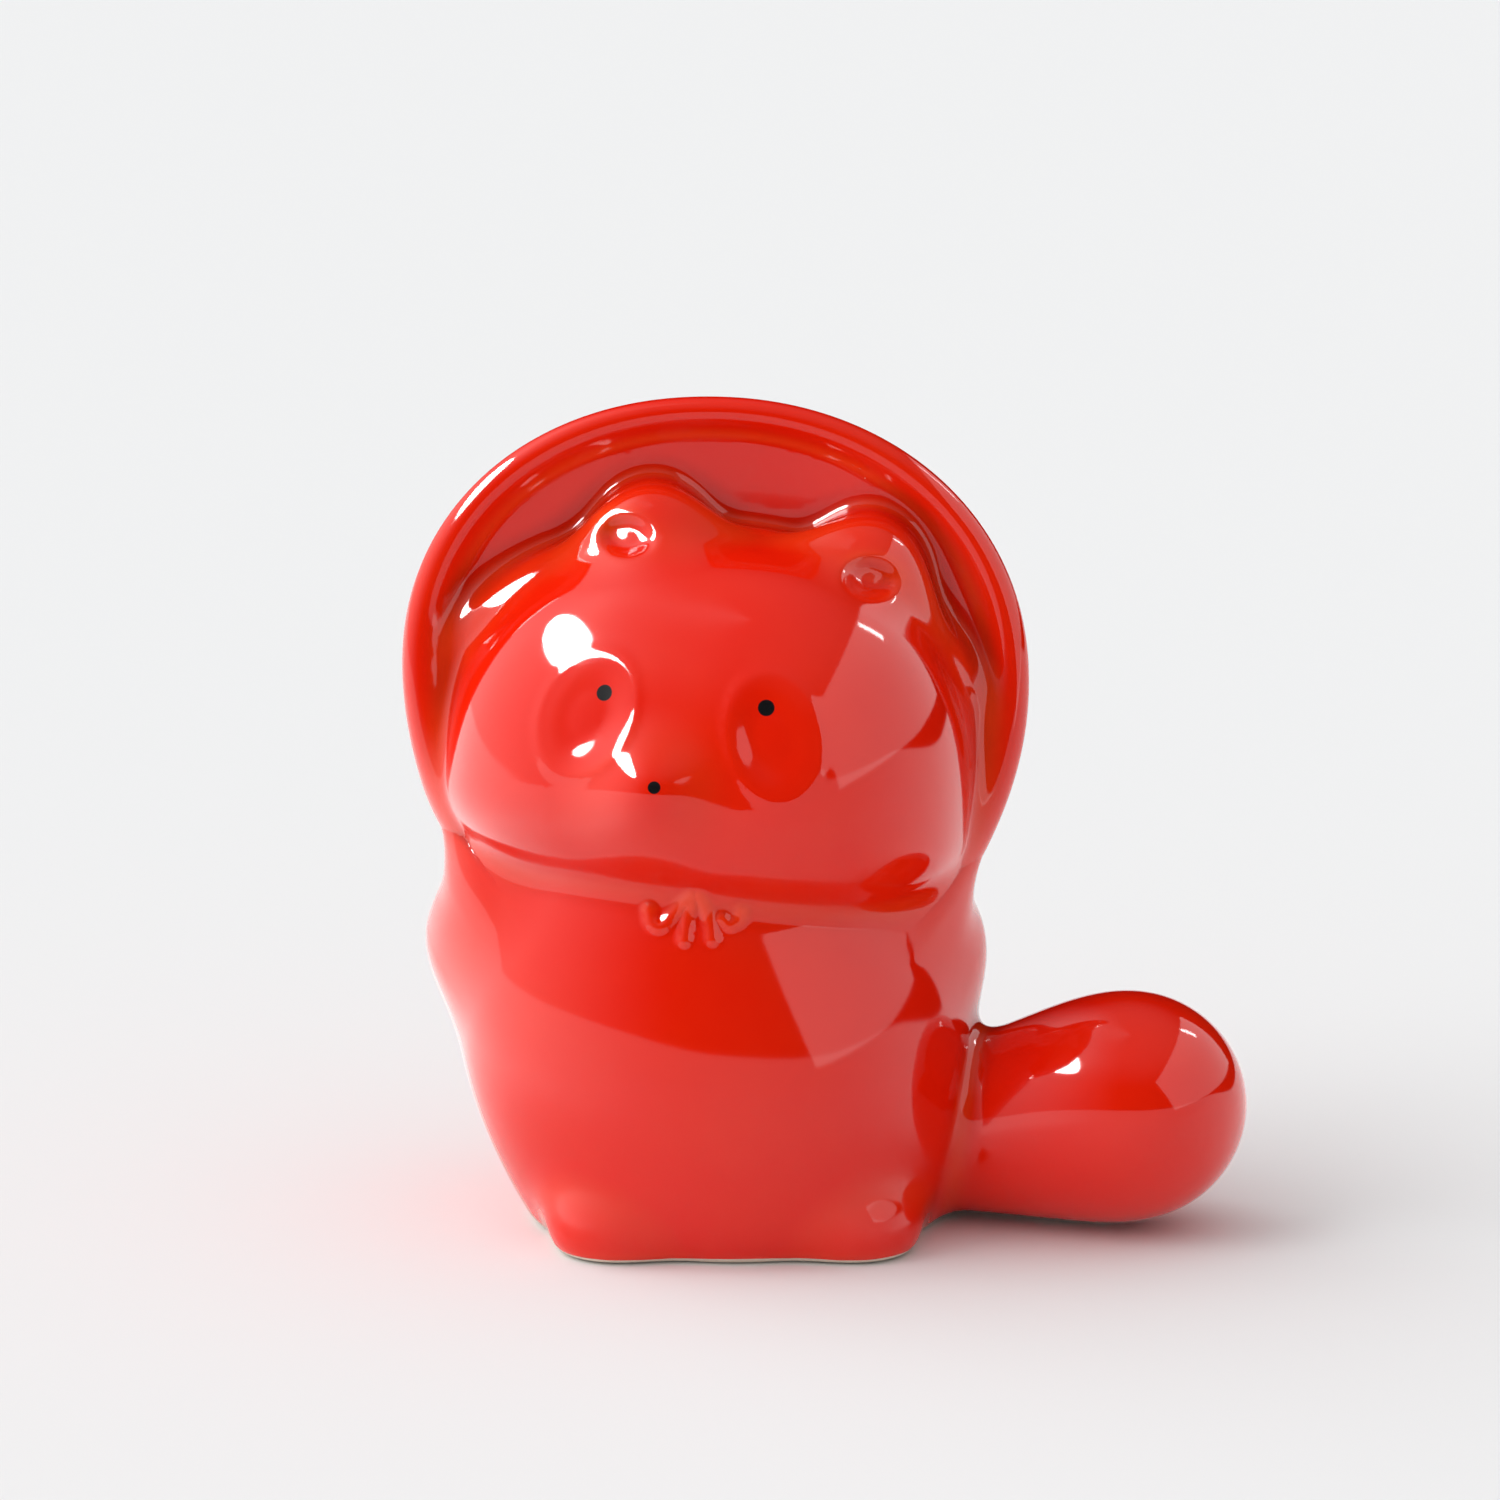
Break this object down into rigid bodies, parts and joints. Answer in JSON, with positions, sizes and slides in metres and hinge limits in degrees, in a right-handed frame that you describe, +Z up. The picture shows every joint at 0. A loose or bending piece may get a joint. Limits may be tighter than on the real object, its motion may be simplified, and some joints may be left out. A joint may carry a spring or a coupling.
{
  "type": "tanuki figure",
  "caption": "Small red-glazed porcelain tanuki ornament: seated raccoon dog with a round straw hat behind its head and a fat tail beside it.",
  "frame": {"origin": "middle of the flat foot, on the surface that the figure stands on", "axes": "+Z up; the figure looks along -Y; its tail lies towards +X"},
  "size_m": [0.0882, 0.0521, 0.0856],
  "materials": {
    "red_glaze": "glossy red glaze over white porcelain, unglazed foot, black enamel dots for eyes and nose"
  },
  "bodies": {
    "root": {"tanuki_figure": "red_glaze"}
  },
  "joints": []
}
